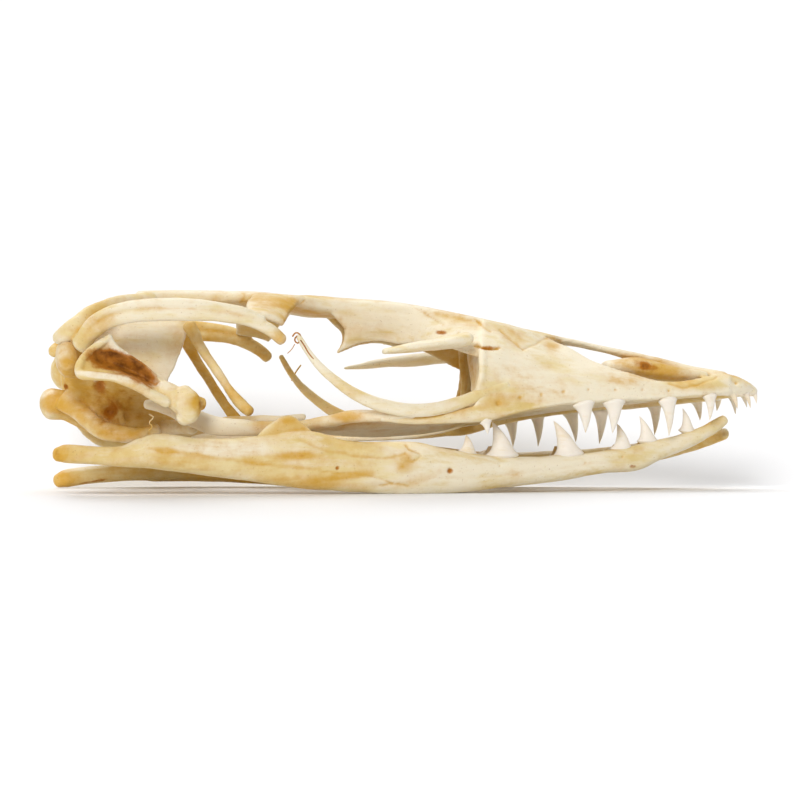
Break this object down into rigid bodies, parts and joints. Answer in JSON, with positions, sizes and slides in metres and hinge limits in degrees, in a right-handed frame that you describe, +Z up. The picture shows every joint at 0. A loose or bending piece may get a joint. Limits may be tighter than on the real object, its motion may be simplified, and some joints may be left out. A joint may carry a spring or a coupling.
{
  "type": "monitor lizard skull",
  "caption": "Cleaned skull of a monitor lizard with its lower jaw, lying on the jaw, with slim bone bars round the eye sockets and curved pointed teeth.",
  "frame": {"origin": "centre of the bounding box's base, on the surface that the lower jaw rests on", "axes": "+X forward to the tip of the snout, +Y to the left of the head, +Z up"},
  "size_m": [0.1203, 0.0433, 0.0333],
  "materials": {
    "bone": "dry cream bone with ochre and brown stains"
  },
  "bodies": {
    "root": {"cranium": "bone", "quadrate_right": "bone", "quadrate_left": "bone", "epipterygoid_right": "bone", "epipterygoid_left": "bone", "palpebral_right": "bone", "palpebral_left": "bone", "jaw_right": "bone", "jaw_left": "bone"}
  },
  "joints": []
}
